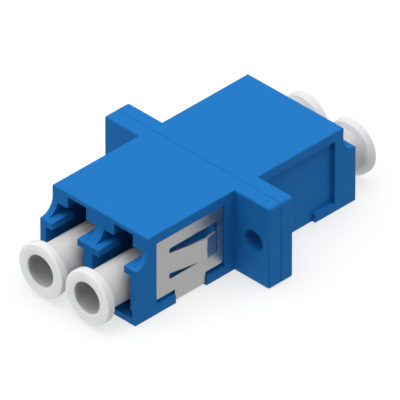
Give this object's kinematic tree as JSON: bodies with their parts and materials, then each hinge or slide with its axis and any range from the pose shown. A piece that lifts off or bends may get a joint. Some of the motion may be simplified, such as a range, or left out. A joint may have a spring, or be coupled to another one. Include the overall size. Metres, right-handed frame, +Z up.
{
  "type": "duplex fibre optic adapter",
  "caption": "Rectangular duplex fibre adapter with a flanged middle, latching ports at both ends, a folded steel panel clip and push-in dust caps.",
  "frame": {"origin": "middle of the underside, below the flange seam", "axes": "+Y along the light path from the front ports to the rear ports, +X across the flange to the right, +Z up through the latch side"},
  "size_m": [0.0222, 0.036, 0.0093],
  "materials": {
    "housing": "fine satin moulding",
    "spring_steel": "satin rolled sheet",
    "ceramic": "polished ceramic",
    "cap": "soft translucent white"
  },
  "bodies": {
    "housing": {"front_housing": "housing", "rear_housing": "housing", "panel_clip": "spring_steel", "split_sleeve_left": "ceramic", "split_sleeve_right": "ceramic"},
    "front_cap_left": {"front_dust_cap_left": "cap"},
    "front_cap_right": {"front_dust_cap_right": "cap"},
    "rear_cap_left": {"rear_dust_cap_left": "cap"},
    "rear_cap_right": {"rear_dust_cap_right": "cap"}
  },
  "joints": [
    {"name": "front_cap_left_pull", "type": "slide", "parent": "housing", "child": "front_cap_left", "axis": [0, -1, 0], "range_m": [0, 0.014]},
    {"name": "front_cap_right_pull", "type": "slide", "parent": "housing", "child": "front_cap_right", "axis": [0, -1, 0], "range_m": [0, 0.014]},
    {"name": "rear_cap_left_pull", "type": "slide", "parent": "housing", "child": "rear_cap_left", "axis": [0, 1, 0], "range_m": [0, 0.014]},
    {"name": "rear_cap_right_pull", "type": "slide", "parent": "housing", "child": "rear_cap_right", "axis": [0, 1, 0], "range_m": [0, 0.014]}
  ]
}
